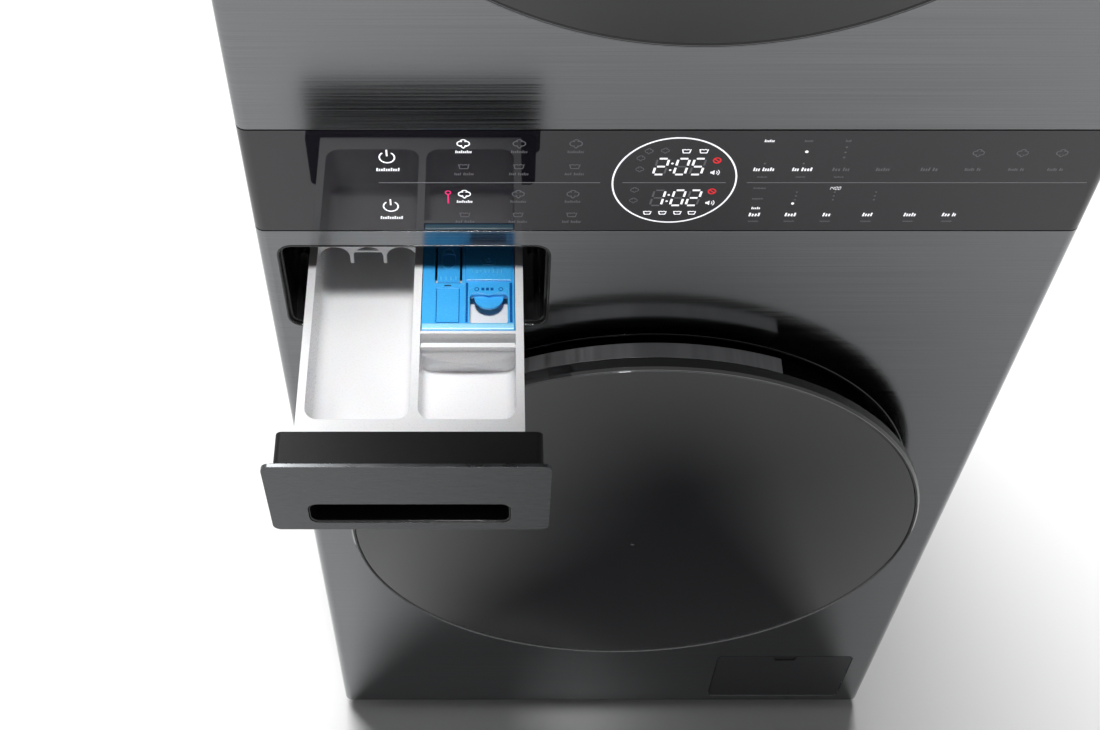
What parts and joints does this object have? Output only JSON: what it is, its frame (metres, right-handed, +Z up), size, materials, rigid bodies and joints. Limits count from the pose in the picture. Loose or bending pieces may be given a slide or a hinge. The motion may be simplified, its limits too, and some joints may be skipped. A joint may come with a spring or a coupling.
{
  "type": "front load washer and dryer tower",
  "caption": "Stacked laundry tower: front load washer below, heat pump dryer above, one control panel between them, and a pull-out detergent drawer.",
  "frame": {"origin": "middle of the footprint on the floor, with the drawer pulled out as at rest", "axes": "+X to the right seen from the front, +Y to the back, +Z up"},
  "size_m": [0.6, 0.845, 1.655],
  "materials": {
    "galvanised_steel": "galvanised sheet steel",
    "foot_rubber": "matt black rubber",
    "side_steel": "dark grey painted sheet steel",
    "brushed_black_steel": "dark horizontally brushed steel with a clear coat",
    "panel_glass": "dark glossy glass-like panel",
    "inner_plastic": "matt black moulded plastic",
    "board_green": "circuit board",
    "black_plastic": "semi-gloss black moulded plastic",
    "hinge_metal": "zinc plated steel",
    "white_plastic": "white moulded plastic",
    "ring_gloss": "glossy black ring with a bright edge",
    "door_tint": "dark tinted tempered glass",
    "bowl_clear": "clear pressed glass",
    "satin_trim": "satin grey trim",
    "block_plastic": "fine-grained black plastic",
    "plate_steel": "brushed grey coated steel plate",
    "blue_plastic": "blue moulded plastic",
    "cover_plastic": "dark satin plastic",
    "hose_rubber": "black rubber hose",
    "tub_plastic": "grey filled plastic",
    "drum_steel": "stainless steel sheet",
    "spider_cast": "cast aluminium",
    "bearing_steel": "ground bearing steel",
    "copper_winding": "enamelled copper windings",
    "rotor_steel": "pressed steel rotor",
    "gasket_rubber": "grey moulded rubber",
    "concrete": "cast concrete",
    "spring_steel": "oiled spring steel and black dampers",
    "roller_rubber": "rubber tread on a plastic hub",
    "belt_rubber": "ribbed rubber belt",
    "shaft_plastic": "dark moulded fan and pulley on a steel shaft",
    "filter_plastic": "dark plastic frame with fine mesh",
    "exchanger_metal": "aluminium fins and painted compressor"
  },
  "bodies": {
    "cabinet": {"base_pan": "galvanised_steel", "levelling_feet": "foot_rubber", "left_side_panel": "side_steel", "right_side_panel": "side_steel", "lower_rear_panel": "galvanised_steel", "upper_rear_panel": "galvanised_steel", "top_cover": "side_steel", "mid_deck": "galvanised_steel", "washer_front_panel": "brushed_black_steel", "dryer_front_panel": "brushed_black_steel", "control_fascia": "panel_glass", "control_housing": "inner_plastic", "control_board": "board_green", "washer_porthole_surround": "black_plastic", "dryer_porthole_surround": "black_plastic", "washer_hinge_bracket": "hinge_metal", "dryer_hinge_bracket": "hinge_metal", "washer_door_lock": "white_plastic", "drawer_housing": "black_plastic", "inlet_valves": "white_plastic", "drain_pump": "inner_plastic", "hoses": "hose_rubber", "tub_front": "tub_plastic", "tub_rear": "tub_plastic", "drum_bearings": "bearing_steel", "motor_stator": "copper_winding", "door_gasket": "gasket_rubber", "counterweights": "concrete", "suspension": "spring_steel", "drum_bulkheads": "galvanised_steel", "drive_belt": "belt_rubber", "dryer_motor": "spider_cast", "heat_pump": "exchanger_metal"},
    "washer_door": {"washer_door_ring": "ring_gloss", "washer_door_glass": "door_tint", "washer_door_frame": "black_plastic", "washer_door_bowl": "bowl_clear", "washer_door_bridge": "satin_trim", "washer_door_leaf": "hinge_metal"},
    "dryer_door": {"dryer_door_ring": "ring_gloss", "dryer_door_glass": "door_tint", "dryer_door_frame": "black_plastic", "dryer_door_leaf": "hinge_metal"},
    "drawer": {"drawer_box": "white_plastic", "drawer_front_block": "block_plastic", "drawer_front_plate": "plate_steel"},
    "insert": {"softener_insert": "blue_plastic"},
    "tab": {"release_tab": "blue_plastic"},
    "flap": {"detergent_flap": "white_plastic"},
    "pump_cover": {"pump_access_cover": "cover_plastic"},
    "filter": {"pump_filter": "white_plastic"},
    "wash_rotor": {"wash_drum": "drum_steel", "drum_lifters": "white_plastic", "drum_shaft": "spider_cast", "motor_rotor": "rotor_steel"},
    "dryer_rotor": {"dryer_drum": "drum_steel"},
    "roller_left": {"drum_roller_left": "roller_rubber"},
    "roller_right": {"drum_roller_right": "roller_rubber"},
    "motor_spindle": {"dryer_motor_shaft": "shaft_plastic"},
    "lint_filter": {"lint_filter": "filter_plastic"}
  },
  "joints": [
    {"name": "washer_door_hinge", "type": "hinge", "parent": "cabinet", "child": "washer_door", "pos_m": [-0.252, -0.2515, 0.481], "axis": [0, 0, -1], "range_deg": [0, 110]},
    {"name": "dryer_door_hinge", "type": "hinge", "parent": "cabinet", "child": "dryer_door", "pos_m": [-0.252, -0.2515, 1.32], "axis": [0, 0, -1], "range_deg": [0, 110]},
    {"name": "drawer_slide", "type": "slide", "parent": "cabinet", "child": "drawer", "axis": [0, -1, 0], "range_m": [-0.184, 0]},
    {"name": "insert_lift", "type": "slide", "parent": "drawer", "child": "insert", "axis": [0, 0, 1], "range_m": [0, 0.01]},
    {"name": "release_press", "type": "hinge", "parent": "insert", "child": "tab", "pos_m": [-0.15985, -0.2435, 0.7975], "axis": [-1, 0, 0], "range_deg": [0, 5], "stiffness_Nm_per_rad": 0.5},
    {"name": "flap_hinge", "type": "hinge", "parent": "drawer", "child": "flap", "pos_m": [-0.14475, -0.297, 0.7935], "axis": [-1, 0, 0], "range_deg": [0, 85]},
    {"name": "pump_cover_hinge", "type": "hinge", "parent": "cabinet", "child": "pump_cover", "pos_m": [0.1985, -0.2325, 0.0375], "axis": [1, 0, 0], "range_deg": [0, 95]},
    {"name": "filter_twist", "type": "hinge", "parent": "cabinet", "child": "filter", "pos_m": [0.1985, -0.2215, 0.081], "axis": [0, -1, 0], "range_deg": [0, 180]},
    {"name": "wash_drum_spin", "type": "hinge", "parent": "cabinet", "child": "wash_rotor", "pos_m": [0, 0.0225, 0.481], "axis": [0, 1, 0], "continuous": true},
    {"name": "dryer_drum_spin", "type": "hinge", "parent": "cabinet", "child": "dryer_rotor", "pos_m": [0, 0.0745, 1.32], "axis": [0, 1, 0], "continuous": true},
    {"name": "roller_left_spin", "type": "hinge", "parent": "cabinet", "child": "roller_left", "pos_m": [-0.1781, 0.2925, 1.06565], "axis": [0, 1, 0], "continuous": true},
    {"name": "roller_right_spin", "type": "hinge", "parent": "cabinet", "child": "roller_right", "pos_m": [0.1781, 0.2925, 1.06565], "axis": [0, 1, 0], "continuous": true},
    {"name": "dryer_motor_spin", "type": "hinge", "parent": "cabinet", "child": "motor_spindle", "pos_m": [0.2, 0.1575, 1.022], "axis": [0, 1, 0], "continuous": true},
    {"name": "lint_filter_lift", "type": "slide", "parent": "cabinet", "child": "lint_filter", "axis": [0, 0, 1], "range_m": [0, 0.1]}
  ],
  "couplings": [
    {"joint": "roller_left_spin", "follows": "dryer_drum_spin", "ratio": -9.3333},
    {"joint": "roller_right_spin", "follows": "dryer_drum_spin", "ratio": -9.3333},
    {"joint": "dryer_motor_spin", "follows": "dryer_drum_spin", "ratio": 23.333}
  ]
}
